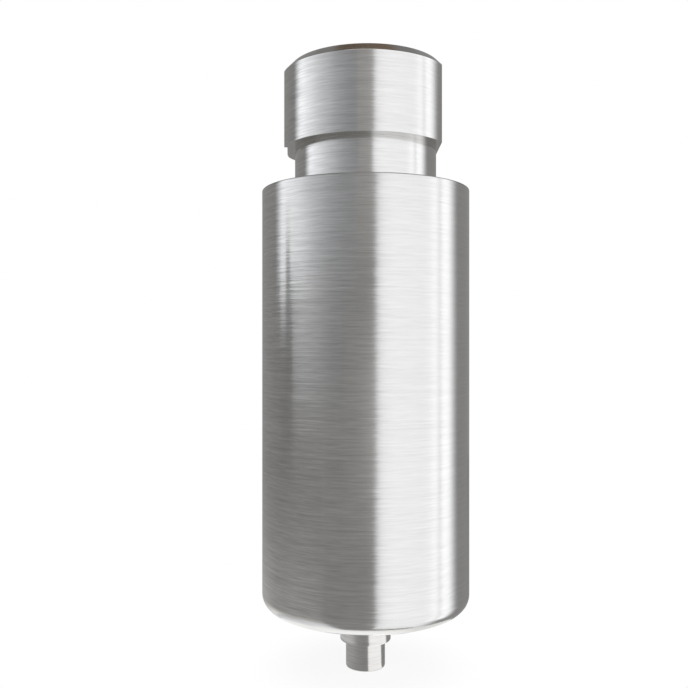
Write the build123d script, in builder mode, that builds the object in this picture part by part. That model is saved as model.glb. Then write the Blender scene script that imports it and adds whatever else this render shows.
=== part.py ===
from build123d import *
import os

# Millimetres, upright on the axis of turning, with the free end of the implant pin at the origin

# Implant connection: a slim pin below a wider collar
pin_diameter = 1.9
pin_length = 1.3
collar_diameter = 2.45
collar_length = 1.65

# Millable body, with a sharp upper edge and a rounded lower edge
body_diameter = 10.0
body_length = 20.0
body_lower_edge_radius = 0.7

# Clamping end: a head with a bevelled crown, and below it a neck groove that the head overhangs
head_diameter = 8.0
head_length = 4.0
head_overhang = 0.58
crown_bevel = 0.4
neck_diameter = head_diameter - 2 * head_overhang
neck_length = 2.0

# Drive flat along one side of the head, this deep below its round
drive_flat_depth = 0.5
drive_flat_from_axis = head_diameter / 2 - drive_flat_depth

# Index slot across from the drive flat: a shallow floor that leans a few degrees and ends in a
# square shoulder, off centre by the shift, with its lower edge broken
slot_floor_depth = 0.21
slot_floor_from_axis = head_diameter / 2 - slot_floor_depth
slot_width = 2.0
slot_lean = 3.6
slot_shift = 0.3
slot_edge_break = 0.08

# Levels along the axis, each counted from the one below
collar_base = pin_length
body_base = collar_base + collar_length
body_top = body_base + body_length
head_base = body_top + neck_length
head_top = head_base + head_length

# How far the cutters reach past the head, and how closely an edge is looked for
cut_allowance = 1.0
search_band = 0.01
half_turn = 180


def edges_at(part, level, kind):
    """The edges of one kind that lie at one level."""
    found = part.edges().filter_by(kind)
    return found.filter_by_position(Axis.Z, level - search_band, level + search_band)


def ring_at(part, level, diameter):
    """The circular edge of one diameter at one level."""
    rings = edges_at(part, level, GeomType.CIRCLE)
    return rings.filter_by(lambda ring: abs(2 * ring.radius - diameter) < search_band)


with BuildPart() as abutment_blank:
    # The turned outline, drawn as a half section and revolved
    with BuildSketch(Plane.XZ):
        with BuildLine():
            Polyline(
                (0, 0),
                (pin_diameter / 2, 0),
                (pin_diameter / 2, collar_base),
                (collar_diameter / 2, collar_base),
                (collar_diameter / 2, body_base),
                (body_diameter / 2, body_base),
                (body_diameter / 2, body_top),
                (neck_diameter / 2, body_top),
                (neck_diameter / 2, head_base),
                (head_diameter / 2, head_base),
                (head_diameter / 2, head_top),
                (0, head_top),
                close=True,
            )
        make_face()
    revolve(axis=Axis.Z)

    # Edges finished on the lathe
    fillet(ring_at(abutment_blank, body_base, body_diameter), radius=body_lower_edge_radius)
    chamfer(ring_at(abutment_blank, head_top, head_diameter), length=crown_bevel)

    # Drive flat, milled over the whole height of the head
    flat_reach = drive_flat_depth + cut_allowance
    with BuildSketch(Plane.XY.offset(head_base)):
        with Locations((drive_flat_from_axis + flat_reach / 2, 0)):
            Rectangle(flat_reach, head_diameter + cut_allowance)
    extrude(amount=head_length, mode=Mode.SUBTRACT)

    # Index slot, milled over the whole height of the head, with its shoulder towards the front
    slot_reach = slot_floor_depth + cut_allowance
    with BuildSketch(Plane.XY.offset(head_base).rotated((0, 0, half_turn + slot_lean))):
        with Locations((slot_floor_from_axis + slot_reach / 2, -slot_shift)):
            Rectangle(slot_reach, slot_width)
    extrude(amount=head_length, mode=Mode.SUBTRACT)

    # The longest straight edge below the slot's side of the head is its floor's lower edge
    slot_side = edges_at(abutment_blank, head_base, GeomType.LINE)
    slot_side = slot_side.filter_by_position(Axis.X, -head_diameter / 2, 0)
    chamfer(slot_side.sort_by(SortBy.LENGTH)[-1], length=slot_edge_break)

abutment_blank.part.label = "abutment_blank"
os.makedirs("parts", exist_ok=True)
export_step(abutment_blank.part, "parts/abutment_blank.step")
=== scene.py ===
import math

import bmesh
import bpy
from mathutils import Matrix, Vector


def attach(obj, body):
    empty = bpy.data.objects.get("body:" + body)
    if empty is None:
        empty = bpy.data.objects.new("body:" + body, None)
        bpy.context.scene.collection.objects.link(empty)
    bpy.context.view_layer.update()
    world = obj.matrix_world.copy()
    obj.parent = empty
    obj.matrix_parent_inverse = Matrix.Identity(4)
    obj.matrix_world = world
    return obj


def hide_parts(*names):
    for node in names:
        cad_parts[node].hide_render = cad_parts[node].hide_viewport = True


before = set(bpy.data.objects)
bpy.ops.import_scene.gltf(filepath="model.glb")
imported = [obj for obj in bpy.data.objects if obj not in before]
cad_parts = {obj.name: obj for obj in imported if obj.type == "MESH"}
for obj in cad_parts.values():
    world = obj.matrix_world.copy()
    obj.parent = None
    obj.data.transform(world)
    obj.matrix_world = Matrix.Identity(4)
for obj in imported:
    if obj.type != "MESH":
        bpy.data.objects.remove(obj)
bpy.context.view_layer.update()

# Lengths are written in millimetres and turned into metres where a mesh or an object is made.
# A turn is in degrees round the axis. For the studio it counts from the camera's side to its right.
MM = 0.001
NODE = "abutment_blank"

# The turned outline, from the free end of the implant pin up
PIN_R, PIN_TOP = 0.95, 1.3
COLLAR_R, COLLAR_TOP = 1.225, 2.95
BODY_R, BODY_TOP = 5.0, 22.95
BODY_LOWER_ROUND = 0.7
NECK_R, HEAD_BASE = 3.42, 24.95
HEAD_R, HEAD_TOP = 4.0, 28.95
CROWN_BEVEL = 0.4

# Rounds on its other edges and in its corners
SHARP_BREAK = 0.03
CRISP_BREAK = 0.035
FINE_BREAK = 0.015
INNER_CORNER = 0.008

# Wear and painted light on a round: above 0 the tone is lighter, below 0 darker. The sharp breaks
# are lightly burnished by wear. The body's lower round gets a painted highlight that stands for the
# pale floor's reflection. It fades out along the section and changes with the turn, as (turn, share
# of the full highlight) pairs. The crisp breaks get a painted dark line of shade.
EDGE_WEAR_AND_PAINTED_LIGHT = {SHARP_BREAK: 0.3, CRISP_BREAK: -0.6, BODY_LOWER_ROUND: 1.0}
PAINTED_HIGHLIGHT_ENDS = 0.74
PAINTED_HIGHLIGHT_FADE = 0.11
PAINTED_HIGHLIGHT_BY_TURN = [(-180, 0.3), (-75, 0.05), (-60, 0.1), (-52, 0.65), (-40, 0.8), (-30, 0.8), (-20, 1.0),
           (9, 1.0), (17, 0.8), (26, 0.27), (40, 0.2), (180, 0.3)]

# The milled places on the head
FLAT_FROM_AXIS = 3.5
SLOT_FLOOR_FROM_AXIS = 3.79
SLOT_TURN = 183.6
SLOT_SIDE_LOW, SLOT_SIDE_HIGH = -1.3, 0.7
SLOT_EDGE_BREAK = 0.08

# How far the cutters reach past the head's round and its ends, and the edge cutter past its edge
CUT_REACH = 1.5
CUT_PAST_ENDS = 0.6
EDGE_CUT_INNER, EDGE_CUT_OUTER = 0.1, 0.4

# How finely the outline is turned, and how its rounds are held by rings beside them
TURN_STEPS = 360
FIRST_STEP = 0.35
ARC_STEP = math.radians(11)
LEAST_ARC_STEPS = 2
SUPPORT = 0.03
SUPPORT_SHARE = 0.3
SHARP_ANGLE = math.radians(15)

# The metal's noises: changes per mm along the axis, changes per mm round it, detail, roughness
FINE = (13.0, 0.22, 3.0, 0.55)
GRAIN = (15.0, 1.1, 2.0, 0.55)
LINES = (8.0, 0.2, 2.0, 0.55)
BROAD = (1.3, 0.12, 3.0, 0.5)
CLOUD = (0.25, 0.25, 3.0, 0.55)
# On flat faces the tool leaves wider spaced rings than on the round
FACE_SHARE = 0.2

# The metal's colours, and how much of each noise shows in its tone, gloss and relief. The tone's
# marks are stronger on the -X side and change over this width.
DARK_METAL = (0.48, 0.473, 0.457, 1)
LIGHT_METAL = (0.72, 0.709, 0.685, 1)
# Tone of the burnished sharp breaks, and of the painted highlight on the body's lower round
WORN_EDGE_AND_PAINTED_HIGHLIGHT_METAL = (0.89, 0.885, 0.87, 1)
# A painted dark line of shade on the crisp breaks
PAINTED_SHADE_EDGE_METAL = (0.2, 0.195, 0.185, 1)
LINES_IN_TONE, GRAIN_IN_TONE = 0.45, 0.55
MARKS_CHANGE = (-1.5 * MM, 1.5 * MM)
MARKS_STRENGTH = (2.5, 0.8)
BROAD_IN_GLOSS, CLOUD_IN_GLOSS = 0.4, 0.6
GLOSS_NOISE = (0.3, 0.7)
ROUGHNESS = (0.13, 0.19)
ANISOTROPY, QUARTER_TURN = 0.35, 0.25
LEAN = 0.04
RELIEF, LINES_IN_RELIEF = 0.0031, 1.2

# Stage: the floor's disc, its pale colour, and how much of it is plain white at its middle and rim
FLOOR_R, FLOOR_SIDES = 6.0, 96
FLOOR_COLOUR = (0.92, 0.92, 0.92, 1)
FLOOR_FADE_FROM = 2
FLOOR_WHITE = (0.9, 1.0)
WHITE = (1, 1, 1, 1)
SOFT_COLOUR, SOFT_STRENGTH = (0.9, 0.9, 0.9, 1), 0.8

# Boards: degrees a step, least steps, a rise without a change, and colours of their light
PANEL_STEP, PANEL_LEAST = 2, 2
RING_STEP, RING_LEAST = 4, 4
FULL = [(0, 1), (1, 1)]
WARM = (1.0, 0.996, 0.99)
COOL = (0.97, 0.985, 1.02)
COOLER = (0.957, 0.983, 1.035)
BROWN = (1.22, 0.89, 0.64)

# The cup round the stub: for each row its radius, its height, and the turns its light side is
# between, which sit at these shares of the row
CUP_ROWS = [(1.0, 0.01, 6.5, 60.0), (1.6, 0.01, 8.5, 76.0), (2.2, 0.01, 9.7, 84.5),
            (2.2, 0.92, 8.6, 80.1), (2.2, 1.7, 7.7, 76.3)]
CUP_LIGHT_FROM, CUP_LIGHT_TO = 0.5, 0.75
CUP_STEPS = 120
CUP_COLOUR, CUP_GROUND = (0.998, 1.0, 1.013), 0.3
CUP_LIGHT_SIDE = [(0.51, 1.2), (0.53, 1.34), (0.65, 1.38), (0.74, 1.4), (0.76, 0.36), (0.9, 0.36),
                  (1, 0.5)]
CUP_TONES = {
    "low": [(0, 0.45), (0.24, 0.47), (0.3, 0.45), (0.4, 0.36), (0.48, 0.34), (0.495, 0.4)],
    "high": [(0, 0.5), (0.03, 0.65), (0.226, 0.73), (0.302, 0.73), (0.334, 0.69), (0.362, 0.61),
             (0.394, 0.44), (0.426, 0.36), (0.48, 0.34), (0.495, 0.4)],
}

# Overhead lamp, and the camera: level, at the photograph's place and angle of view
LAMP_SIZE, LAMP_POWER = 90, 0.02
LAMP_PLACE, LAMP_AIM = (0, -50, 150), (0, 0, 14)
CAMERA_PLACE = (-1.0435, -40.435, 15.6)
SENSOR_WIDTH, LENS = 36, 43.456
CLIP_START, CLIP_END = 1, 2000


def metres(*lengths):
    return tuple(length * MM for length in lengths)


def along(pairs, place):
    """The value at one place on a line through (place, value) pairs."""
    for (start, at_start), (end, at_end) in zip(pairs, pairs[1:]):
        if place <= end:
            break
    return at_start + (at_end - at_start) * (place - start) / (end - start)


def add_object(name, data):
    thing = bpy.data.objects.new(name, data)
    bpy.context.scene.collection.objects.link(thing)
    return thing


def add_mesh(name, bm):
    mesh = bpy.data.meshes.new(name)
    bm.to_mesh(mesh)
    bm.free()
    return add_object(name, mesh)


# The blank
def profile_with_rounds(corners):
    """Rounds the (radius, height, round) corners of an outline.

    Gives points of (radius, height, wear and painted light, whether that changes with the turn).
    """
    points = []
    for i, (r, z, rounding) in enumerate(corners):
        here = Vector((r, z))
        if i in (0, len(corners) - 1) or not rounding:
            points.append((r, z, 0.0, False))
            continue
        before = Vector(corners[i - 1][:2]) - here
        after = Vector(corners[i + 1][:2]) - here
        support = min(SUPPORT, SUPPORT_SHARE * before.length, SUPPORT_SHARE * after.length)
        before.normalize()
        after.normalize()
        turn = math.pi - before.angle(after)
        reach = rounding * math.tan(turn / 2)
        centre = here + (before + after).normalized() * (rounding / math.cos(turn / 2))
        start = here + before * reach - centre
        end = here + after * reach - centre
        side = 1 if start.x * end.y - start.y * end.x > 0 else -1
        steps = max(LEAST_ARC_STEPS, math.ceil(turn / ARC_STEP))
        # Sharp breaks are lightened by wear, the body's lower round gets a painted highlight, and
        # crisp breaks get a painted dark line of shade
        wear_and_painted_light = EDGE_WEAR_AND_PAINTED_LIGHT.get(rounding, 0.0)
        changing = rounding == BODY_LOWER_ROUND
        first = here + before * (reach + support)
        points.append((first.x, first.y, 0.0, False))
        for k in range(steps + 1):
            a = side * turn * k / steps
            c, s = math.cos(a), math.sin(a)
            p = centre + Vector((start.x * c - start.y * s, start.x * s + start.y * c))
            left = min(1.0, max(0.0, (PAINTED_HIGHLIGHT_ENDS - k / steps) / PAINTED_HIGHLIGHT_FADE)) if changing else 1.0
            points.append((p.x, p.y, wear_and_painted_light * left, changing))
        last = here + after * (reach + support)
        points.append((last.x, last.y, 0.0, False))
    return points


def painted_highlight_at(angle):
    """The share of the full painted highlight on the body's lower round, at an angle from +X in
    radians.
    """
    return along(PAINTED_HIGHLIGHT_BY_TURN, (math.degrees(angle) + 90 + 180) % 360 - 180)


def make_blank():
    """The outline turned round the axis, before the head is milled."""
    outline = profile_with_rounds([
        (0.0, 0.0, 0),
        (PIN_R, 0.0, SHARP_BREAK),
        (PIN_R, PIN_TOP, INNER_CORNER),
        (COLLAR_R, PIN_TOP, SHARP_BREAK),
        (COLLAR_R, COLLAR_TOP, INNER_CORNER),
        (BODY_R, COLLAR_TOP, BODY_LOWER_ROUND),
        (BODY_R, BODY_TOP, CRISP_BREAK),
        (NECK_R, BODY_TOP, INNER_CORNER),
        (NECK_R, HEAD_BASE, INNER_CORNER),
        (HEAD_R, HEAD_BASE, FINE_BREAK),
        (HEAD_R, HEAD_TOP - CROWN_BEVEL, SHARP_BREAK),
        (HEAD_R - CROWN_BEVEL, HEAD_TOP, CRISP_BREAK),
        (0.0, HEAD_TOP, 0),
    ])
    bm = bmesh.new()
    wear_and_painted_light = bm.verts.layers.float.new("wear_and_painted_light")
    step = 2 * math.pi / TURN_STEPS
    angles = [(i + FIRST_STEP) * step for i in range(TURN_STEPS)]
    rings = []
    for r, z, wear_and_light_here, changing in outline:
        if r == 0:
            rings.append([bm.verts.new(metres(0, 0, z))])
            continue
        ring = []
        for a in angles:
            v = bm.verts.new(metres(r * math.cos(a), r * math.sin(a), z))
            # The painted highlight on the body's lower round is scaled by the turn
            v[wear_and_painted_light] = wear_and_light_here * painted_highlight_at(a) if changing else wear_and_light_here
            ring.append(v)
        rings.append(ring)
    for low, high in zip(rings, rings[1:]):
        for i in range(TURN_STEPS):
            j = (i + 1) % TURN_STEPS
            if len(low) == 1:
                bm.faces.new((low[0], high[j], high[i]))
            elif len(high) == 1:
                bm.faces.new((low[i], low[j], high[0]))
            else:
                bm.faces.new((low[i], low[j], high[j], high[i]))
    bm.normal_update()
    return add_mesh("abutment_blank_turned", bm)


def make_cutter(name, low, high, turn=0.0):
    """A box between two corners, turned about the axis of turning."""
    bm = bmesh.new()
    bmesh.ops.create_cube(bm, size=1.0)
    a = math.radians(turn)
    for v in bm.verts:
        x, y, z = (low[k] + (v.co[k] + 0.5) * (high[k] - low[k]) for k in range(3))
        turned_x = x * math.cos(a) - y * math.sin(a)
        turned_y = x * math.sin(a) + y * math.cos(a)
        v.co = Vector((turned_x, turned_y, z)) * MM
    return add_mesh(name, bm)


def make_edge_cutter(name):
    """A three-sided bar that breaks the lower edge of the slot's floor."""
    bm = bmesh.new()
    a = math.radians(SLOT_TURN)
    out = Vector((math.cos(a), math.sin(a), 0))
    side = Vector((-math.sin(a), math.cos(a), 0))
    inner = SLOT_FLOOR_FROM_AXIS - SLOT_EDGE_BREAK - EDGE_CUT_INNER
    outer = SLOT_FLOOR_FROM_AXIS + EDGE_CUT_OUTER
    low = HEAD_BASE - EDGE_CUT_INNER
    high = HEAD_BASE + SLOT_EDGE_BREAK + EDGE_CUT_OUTER
    section = [(inner, low), (outer, low), (outer, high)]
    near, far = (
        [bm.verts.new((out * n + side * v + Vector((0, 0, z))) * MM) for n, z in section]
        for v in (SLOT_SIDE_LOW - CUT_PAST_ENDS, SLOT_SIDE_HIGH))
    bm.faces.new(near)
    bm.faces.new(list(reversed(far)))
    for i in range(3):
        j = (i + 1) % 3
        bm.faces.new((near[i], far[i], far[j], near[j]))
    bmesh.ops.recalc_face_normals(bm, faces=bm.faces)
    return add_mesh(name, bm)


def cut_away(piece, cutters):
    """Takes the cutters' shapes out of the piece for good."""
    for cutter in cutters:
        cut = piece.modifiers.new(cutter.name, "BOOLEAN")
        cut.operation = "DIFFERENCE"
        cut.solver = "EXACT"
        cut.object = cutter
    depsgraph = bpy.context.evaluated_depsgraph_get()
    mesh = bpy.data.meshes.new_from_object(piece.evaluated_get(depsgraph))
    mesh.name = "blank_titanium_cut"
    piece.modifiers.clear()
    piece.data = mesh
    for cutter in cutters:
        bpy.data.objects.remove(cutter)


blank = make_blank()
past_round = HEAD_R + CUT_REACH
below_head, above_head = HEAD_BASE - CUT_PAST_ENDS, HEAD_TOP + CUT_PAST_ENDS
cut_away(blank, [
    make_cutter("drive_flat", (FLAT_FROM_AXIS, -past_round, below_head),
                (past_round, past_round, above_head)),
    make_cutter("index_slot", (SLOT_FLOOR_FROM_AXIS, SLOT_SIDE_LOW, below_head),
                (past_round, SLOT_SIDE_HIGH, above_head), SLOT_TURN),
    make_edge_cutter("slot_edge"),
])
for face in blank.data.polygons:
    face.use_smooth = True
blank.data.set_sharp_from_angle(angle=SHARP_ANGLE)


# Materials
class Nodes:
    """One shader tree. An input is given as a plain value or as another node's output."""

    def __init__(self, owner, output="ShaderNodeOutputMaterial"):
        owner.use_nodes = True
        self.tree = owner.node_tree
        self.tree.nodes.clear()
        self.output = self.add(output)

    def add(self, kind, inputs=None, **settings):
        node = self.tree.nodes.new(kind)
        for name, value in settings.items():
            setattr(node, name, value)
        for key, value in (inputs or {}).items():
            if isinstance(value, bpy.types.NodeSocket):
                self.tree.links.new(value, node.inputs[key])
            else:
                node.inputs[key].default_value = value
        return node

    def math(self, operation, *values, clamp=False):
        node = self.add("ShaderNodeMath", dict(enumerate(values)),
                        operation=operation, use_clamp=clamp)
        return node.outputs[0]

    def times(self, a, b):
        return self.math("MULTIPLY", a, b)

    def plus(self, a, b, clamp=False):
        return self.math("ADD", a, b, clamp=clamp)

    def minus(self, a, b):
        return self.math("SUBTRACT", a, b)

    def vector(self, operation, inputs):
        return self.add("ShaderNodeVectorMath", inputs, operation=operation).outputs[0]

    def spread(self, value, low_high, new_low_high, kind="LINEAR"):
        inputs = {"Value": value, "From Min": low_high[0], "From Max": low_high[1],
                  "To Min": new_low_high[0], "To Max": new_low_high[1]}
        return self.add("ShaderNodeMapRange", inputs, interpolation_type=kind).outputs[0]

    def blend(self, share, first, second):
        """A colour between two colours."""
        inputs = {"Factor": share, "A": first, "B": second}
        return self.add("ShaderNodeMix", inputs, data_type="RGBA").outputs["Result"]

    def either(self, share, first, second):
        """A shader between two shaders."""
        return self.add("ShaderNodeMixShader", {0: share, 1: first, 2: second}).outputs[0]

    def curve(self, pairs, source):
        """A smooth line through (place, value) pairs."""
        node = self.add("ShaderNodeFloatCurve")
        line = node.mapping.curves[0]
        line.points[0].location = pairs[0]
        line.points[1].location = pairs[-1]
        for pair in pairs[1:-1]:
            line.points.new(*pair)
        node.mapping.update()
        self.tree.links.new(source, node.inputs["Value"])
        return node.outputs[0]

    def facing(self, shader):
        """The shader on the front side, and nothing on the back."""
        back = self.add("ShaderNodeNewGeometry").outputs["Backfacing"]
        clear = self.add("ShaderNodeBsdfTransparent").outputs[0]
        return self.either(back, shader, clear)

    def seen(self):
        """1 on rays from the camera and on mirrored and transmitted rays, 0 on others."""
        rays = self.add("ShaderNodeLightPath").outputs
        direct = self.plus(rays["Is Camera Ray"], rays["Is Glossy Ray"], clamp=True)
        return self.plus(direct, rays["Is Transmission Ray"], clamp=True)

    def finish(self, shader):
        self.tree.links.new(shader, self.output.inputs[0])


def titanium():
    """Turned titanium, with marks drawn out round the axis in its tone, gloss and relief, and with
    wear and painted light on its rounds.
    """
    material = bpy.data.materials.new("turned_titanium")
    nodes = Nodes(material)
    tangent = nodes.add("ShaderNodeTangent", direction_type="RADIAL", axis="Z").outputs[0]
    place = nodes.add("ShaderNodeTexCoord").outputs["Object"]
    x, y, z = nodes.add("ShaderNodeSeparateXYZ", {0: place}).outputs
    radius = nodes.math("SQRT", nodes.plus(nodes.times(x, x), nodes.times(y, y)))

    def turned_noise(per_mm_along, per_mm_round, detail, rough):
        where = nodes.add("ShaderNodeCombineXYZ", {
            0: nodes.times(x, per_mm_round / MM),
            1: nodes.times(y, per_mm_round / MM),
            2: nodes.times(z, per_mm_along / MM)}).outputs[0]
        inputs = {"Vector": where, "W": nodes.times(radius, FACE_SHARE * per_mm_along / MM),
                  "Scale": 1.0, "Detail": detail, "Roughness": rough}
        return nodes.add("ShaderNodeTexNoise", inputs, noise_dimensions="4D").outputs[0]

    fine, grain, lines, broad, cloud = (
        turned_noise(*spec) for spec in (FINE, GRAIN, LINES, BROAD, CLOUD))

    marks = nodes.spread(x, MARKS_CHANGE, MARKS_STRENGTH, "SMOOTHSTEP")
    mixed = nodes.plus(nodes.times(lines, LINES_IN_TONE), nodes.times(grain, GRAIN_IN_TONE))
    tone = nodes.plus(nodes.times(nodes.minus(mixed, 0.5), marks), 0.5, clamp=True)
    colour = nodes.blend(tone, DARK_METAL, LIGHT_METAL)
    # Lighter on worn sharp breaks, with a painted highlight on the body's lower round and a painted
    # dark line of shade on the crisp breaks
    wear_and_painted_light = nodes.add("ShaderNodeAttribute", attribute_name="wear_and_painted_light").outputs["Fac"]
    colour = nodes.blend(nodes.math("MAXIMUM", wear_and_painted_light, 0.0), colour, WORN_EDGE_AND_PAINTED_HIGHLIGHT_METAL)
    # Painted dark line of shade on the crisp breaks
    colour = nodes.blend(nodes.math("MAXIMUM", nodes.times(wear_and_painted_light, -1.0), 0.0), colour, PAINTED_SHADE_EDGE_METAL)

    gloss = nodes.plus(nodes.times(broad, BROAD_IN_GLOSS), nodes.times(cloud, CLOUD_IN_GLOSS))

    lean = nodes.times(nodes.minus(grain, 0.5), LEAN)
    lean = nodes.vector("SCALE", {0: tangent, "Scale": lean})
    shape = nodes.add("ShaderNodeNewGeometry").outputs["Normal"]
    leaning = nodes.vector("NORMALIZE", {0: nodes.vector("ADD", {0: shape, 1: lean})})
    bump = nodes.add("ShaderNodeBump", {
        "Strength": 1.0,
        "Distance": RELIEF * MM,
        "Normal": leaning,
        "Height": nodes.plus(fine, nodes.times(lines, LINES_IN_RELIEF))}).outputs[0]

    nodes.finish(nodes.add("ShaderNodeBsdfPrincipled", {
        "Metallic": 1.0,
        "Base Color": colour,
        "Roughness": nodes.spread(gloss, GLOSS_NOISE, ROUGHNESS),
        "Anisotropic": ANISOTROPY,
        "Anisotropic Rotation": QUARTER_TURN,
        "Tangent": tangent,
        "Normal": bump}).outputs[0])
    return material


def board_material(name, tones, rise, ground, colour, one_sided=False):
    """A board's light.

    Tones are (share of the width, brightness) pairs. Rise is (share of the height, how far the
    brightness there has come from the ground to the tone) pairs.
    """
    material = bpy.data.materials.new(name)
    nodes = Nodes(material)
    share = nodes.add("ShaderNodeUVMap", uv_map="share").outputs[0]
    across, up, _ = nodes.add("ShaderNodeSeparateXYZ", {0: share}).outputs
    top = max(tone for _, tone in tones)
    tone = nodes.times(nodes.curve([(s, tone / top) for s, tone in tones], across), top)
    above = nodes.times(nodes.minus(tone, ground), nodes.curve(rise, up))
    light = nodes.add("ShaderNodeEmission", {
        "Color": (*colour, 1), "Strength": nodes.plus(above, ground)}).outputs[0]
    nodes.finish(nodes.facing(light) if one_sided else light)
    return material


def floor_material():
    """White where it is seen or mirrored, but for a share near the middle that takes a shadow."""
    material = bpy.data.materials.new("pale_floor")
    nodes = Nodes(material)
    place = nodes.add("ShaderNodeTexCoord").outputs["Object"]
    far = nodes.add("ShaderNodeVectorMath", {0: place}, operation="LENGTH").outputs["Value"]
    plain = nodes.spread(far, metres(FLOOR_FADE_FROM, FLOOR_R), FLOOR_WHITE, "SMOOTHSTEP")
    pale = nodes.add("ShaderNodeBsdfDiffuse", {"Color": FLOOR_COLOUR}).outputs[0]
    white = nodes.add("ShaderNodeEmission", {"Color": WHITE}).outputs[0]
    nodes.finish(nodes.facing(nodes.either(nodes.times(plain, nodes.seen()), pale, white)))
    return material


blank.data.materials.clear()
blank.data.materials.append(titanium())
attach(blank, "root")
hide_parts(NODE)


# Studio
def add_board(name, rows, materials, upright=True):
    """A curved board round the object, hidden from the camera and seen in what the metal mirrors.

    A row is a radius, a height and its points' turns. The last strip takes the last material.
    """
    bm = bmesh.new()
    share = bm.loops.layers.uv.new("share")
    points = []
    for r, z, turns in rows:
        angles = [math.radians(turn) for turn in turns]
        points.append([bm.verts.new(metres(r * math.sin(a), -r * math.cos(a), z)) for a in angles])
    steps, strips = len(points[0]) - 1, len(rows) - 1
    for k in range(strips):
        for i in range(steps):
            corners = [(k, i), (k, i + 1), (k + 1, i + 1), (k + 1, i)]
            if not upright:
                corners = [(k, i), (k + 1, i), (k + 1, i + 1), (k, i + 1)]
            face = bm.faces.new([points[row][column] for row, column in corners])
            face.material_index = len(materials) - 1 if k == strips - 1 else 0
            for loop, (row, column) in zip(face.loops, corners):
                loop[share].uv = (column / steps, row / strips)
    board = add_mesh(name, bm)
    for material in materials:
        board.data.materials.append(material)
    board.visible_camera = False
    return board


def turns_between(start, end, step, least):
    steps = max(least, int(abs(end - start) / step))
    return [start + (end - start) * i / steps for i in range(steps + 1)]


def panel(name, distance, from_turn, to_turn, low, high, tones, rise, ground, colour):
    """An upright board between two turns and two heights."""
    turns = turns_between(from_turn, to_turn, PANEL_STEP, PANEL_LEAST)
    add_board(name, [(distance, low, turns), (distance, high, turns)],
              [board_material(name, tones, rise, ground, colour)])


def ring_board(name, inner, outer, z, from_turn, to_turn, tones, rise, ground, colour):
    """A flat board at one height. Its rise goes from its inner edge to its outer edge."""
    turns = turns_between(from_turn, to_turn, RING_STEP, RING_LEAST)
    add_board(name, [(inner, z, turns), (outer, z, turns)],
              [board_material(name, tones, rise, ground, colour)], upright=False)


def cup_for_stub():
    """A small cup that brings the studio's dark and light sides down to the floor."""
    rows = []
    for r, z, light_from, light_to in CUP_ROWS:
        line = [(0, -180), (CUP_LIGHT_FROM, light_from), (CUP_LIGHT_TO, light_to), (1, 180)]
        rows.append((r, z, [along(line, i / CUP_STEPS) for i in range(CUP_STEPS + 1)]))
    materials = [
        board_material("card_round_stub_" + part, tones + CUP_LIGHT_SIDE, FULL, CUP_GROUND,
                       CUP_COLOUR, one_sided=True)
        for part, tones in CUP_TONES.items()]
    cup = add_board("card_round_stub", rows, materials, upright=False)
    cup.visible_diffuse = False
    cup.visible_shadow = False
    cup.visible_transmission = False


panel("card_all_round", 170, -180, 180, -114, 215,
      [(0, 0.3), (0.06, 0.31), (0.12, 0.32), (0.19, 0.29), (0.245, 0.25), (0.28, 0.33),
       (0.32, 0.345), (0.36, 0.345), (0.42, 0.33), (0.485, 0.34), (0.5, 0.4), (0.515, 0.45),
       (0.53, 0.45), (0.56, 0.34), (0.65, 0.34), (0.82, 0.33), (0.88, 0.32), (0.95, 0.31),
       (1, 0.3)],
      FULL, 0.2, WARM)
panel("card_front", 165, -46, 12, -60, 100,
      [(0, 0.44), (0.5, 0.45), (0.7, 0.45), (0.85, 0.475), (1, 0.52)],
      [(0, 0.5), (0.2, 0.1), (0.35, 0.2), (0.5, 0.0), (0.6, 0.38), (0.7, 0.8), (0.82, 1), (1, 1)],
      0.30, WARM)
panel("card_front_glow", 163, -24, 9, -25, 23,
      [(0, 0.34), (0.3, 0.36), (0.55, 0.4), (0.8, 0.47), (1, 0.54)],
      [(0, 0), (0.33, 0.9), (0.5, 1), (0.65, 0.9), (1, 0)],
      0.335, WARM)
panel("softbox_right", 140, 7.7, 84, -100, 125,
      [(0, 0.52), (0.035, 0.9), (0.08, 1.27), (0.15, 1.39), (0.5, 1.43), (0.79, 1.44),
       (0.856, 1.54), (0.908, 1.62), (0.947, 1.54), (0.974, 1.36), (1, 1.21)],
      FULL, 0.3, COOL)
panel("softbox_far_right", 140, 84, 115, -100, 125,
      [(0, 1.21), (0.06, 1.39), (0.13, 1.6), (0.25, 1.7), (0.42, 1.62), (0.52, 1.45),
       (0.645, 1.08), (0.77, 0.74), (0.9, 0.46), (1, 0.34)],
      FULL, 0.3, COOL)
panel("softbox_left", 140, -113.5, -12, 28, 95,
      [(0, 0.36), (0.039, 0.6), (0.077, 0.95), (0.116, 1.27), (0.153, 1.28), (0.187, 1.23),
       (0.232, 1.19), (0.313, 1.15), (0.395, 1.08), (0.488, 0.9), (0.58, 0.7), (0.765, 0.47),
       (1, 0.38)],
      FULL, 0.3, COOLER)
panel("softbox_left_top", 139, -113.5, -12, 43, 125,
      [(0, 0.36), (0.039, 0.65), (0.077, 1.02), (0.116, 1.35), (0.153, 1.46), (0.19, 1.45),
       (0.262, 1.3), (0.34, 1.15), (0.433, 0.96), (0.527, 0.81), (0.626, 0.68), (0.713, 0.55),
       (0.813, 0.46), (0.921, 0.4), (1, 0.39)],
      FULL, 0.3, COOLER)
panel("low_glow_left", 141, -86, -26, 3, 28.5,
      [(0, 0.32), (0.153, 0.52), (0.42, 0.51), (0.68, 0.42), (0.84, 0.36), (1, 0.345)],
      [(0, 0), (0.35, 1), (1, 1)],
      0.31, COOL)
panel("low_streak_left", 141, -105.3, -95.9, 18, 28.5,
      [(0, 0.8), (0.4, 0.85), (0.8, 0.8), (1, 0.7)],
      [(0, 0.1), (1, 1)],
      0.3, COOL)
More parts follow.
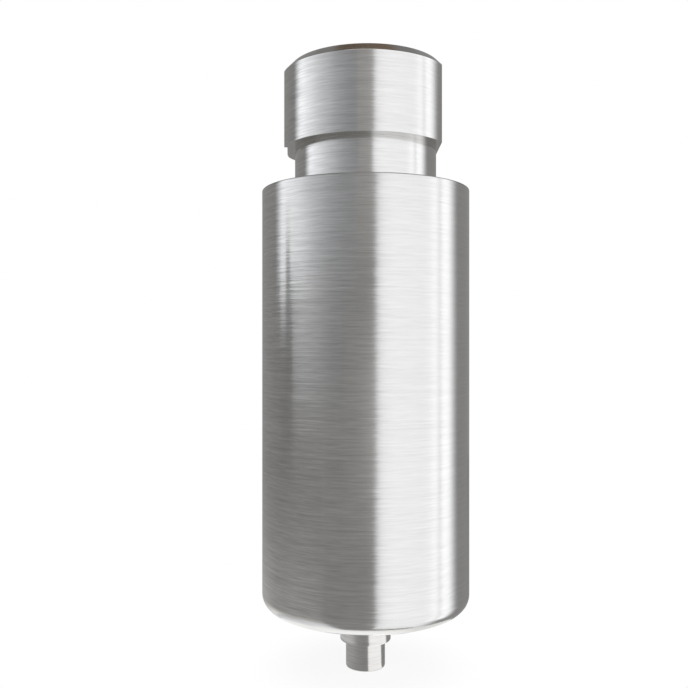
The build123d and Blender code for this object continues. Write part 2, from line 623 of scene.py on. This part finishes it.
panel("stand_left", 138, -95.4, -89.0, 20, 50,
      [(0, 1.38), (1, 1.34)],
      [(0, 0), (0.25, 0.01), (0.33, 0.08), (0.42, 0.16), (0.5, 0.32), (0.58, 0.52), (0.67, 0.76),
       (0.8, 0.93), (1, 1)],
      0.3, COOL)
panel("low_card_left", 168, -215, -48, -112, -12,
      [(0, 0.32), (0.1, 0.38), (0.21, 0.58), (0.32, 0.88), (0.423, 0.96), (0.644, 0.71),
       (0.802, 0.71), (0.921, 0.68), (0.96, 0.63), (1, 0.56)],
      [(0, 1), (0.2, 0.95), (0.39, 0.65), (0.5, 0.5), (0.68, 0.28), (0.78, 0.16), (0.9, 0.085),
       (1, 0.03)],
      0.27, WARM)
ring_board("card_above", 0.5, 75, 214, -180, 180,
           [(0, 0.26), (1, 0.26)],
           [(0, 0), (0.3, 0.1), (0.8, 1), (1, 1)],
           0.6, WARM)
ring_board("card_above_back", 36, 100, 213, 130, 230,
           [(0, 0.24), (0.25, 0.165), (0.5, 0.135), (0.7, 0.115), (0.78, 0.125), (1, 0.24)],
           [(0, 0.8), (0.18, 1), (1, 1)],
           0.15, BROWN)
ring_board("card_above_outside", 75, 170, 215, -180, 180,
           [(0, 0.265), (1, 0.265)],
           FULL, 0.2, WARM)
ring_board("card_below", 0.5, 170, -112, -180, 180,
           [(0, 0.34), (1, 0.34)],
           FULL, 0.3, WARM)
ring_board("low_table_left", 30, 168, -110, -220, -45,
           [(0, 0.34), (0.1, 0.42), (0.22, 0.62), (0.345, 0.9), (0.691, 0.95), (0.886, 1.03),
            (1, 0.4)],
           [(0, 1), (0.5, 0.95), (1, 0.55)],
           0.34, COOL)
ring_board("softbox_low_right", 72, 150, -105, 10, 100,
           [(0, 1.15), (0.1, 1.3), (0.7, 1.3), (0.85, 0.95), (1, 0.5)],
           FULL, 0.3, COOL)
cup_for_stub()

disc = bmesh.new()
bmesh.ops.create_circle(disc, cap_ends=True, segments=FLOOR_SIDES, radius=FLOOR_R * MM)
floor = add_mesh("floor", disc)
floor.data.materials.append(floor_material())

# World: white where it is seen or mirrored, a soft even light elsewhere
world = bpy.data.worlds.new("studio")
bpy.context.scene.world = world
sky = Nodes(world, "ShaderNodeOutputWorld")
soft = sky.add("ShaderNodeBackground", {"Color": SOFT_COLOUR, "Strength": SOFT_STRENGTH})
white = sky.add("ShaderNodeBackground", {"Color": WHITE, "Strength": 1.0})
sky.finish(sky.either(sky.seen(), soft.outputs[0], white.outputs[0]))

lamp_data = bpy.data.lights.new("overhead", "AREA")
lamp_data.shape = "SQUARE"
lamp_data.size = LAMP_SIZE * MM
lamp_data.energy = LAMP_POWER
lamp = add_object("overhead", lamp_data)
lamp.location = metres(*LAMP_PLACE)
lamp.rotation_mode = "QUATERNION"
lamp.rotation_quaternion = (Vector(metres(*LAMP_AIM)) - lamp.location).to_track_quat("-Z", "Y")
lamp.visible_camera = False

camera_data = bpy.data.cameras.new("camera")
camera_data.sensor_width = SENSOR_WIDTH
camera_data.lens = LENS
camera_data.clip_start = CLIP_START * MM
camera_data.clip_end = CLIP_END * MM
camera = add_object("camera", camera_data)
camera.location = metres(*CAMERA_PLACE)
camera.rotation_euler = (math.radians(90), 0, 0)
bpy.context.scene.camera = camera
bpy.context.scene.view_settings.view_transform = "Standard"
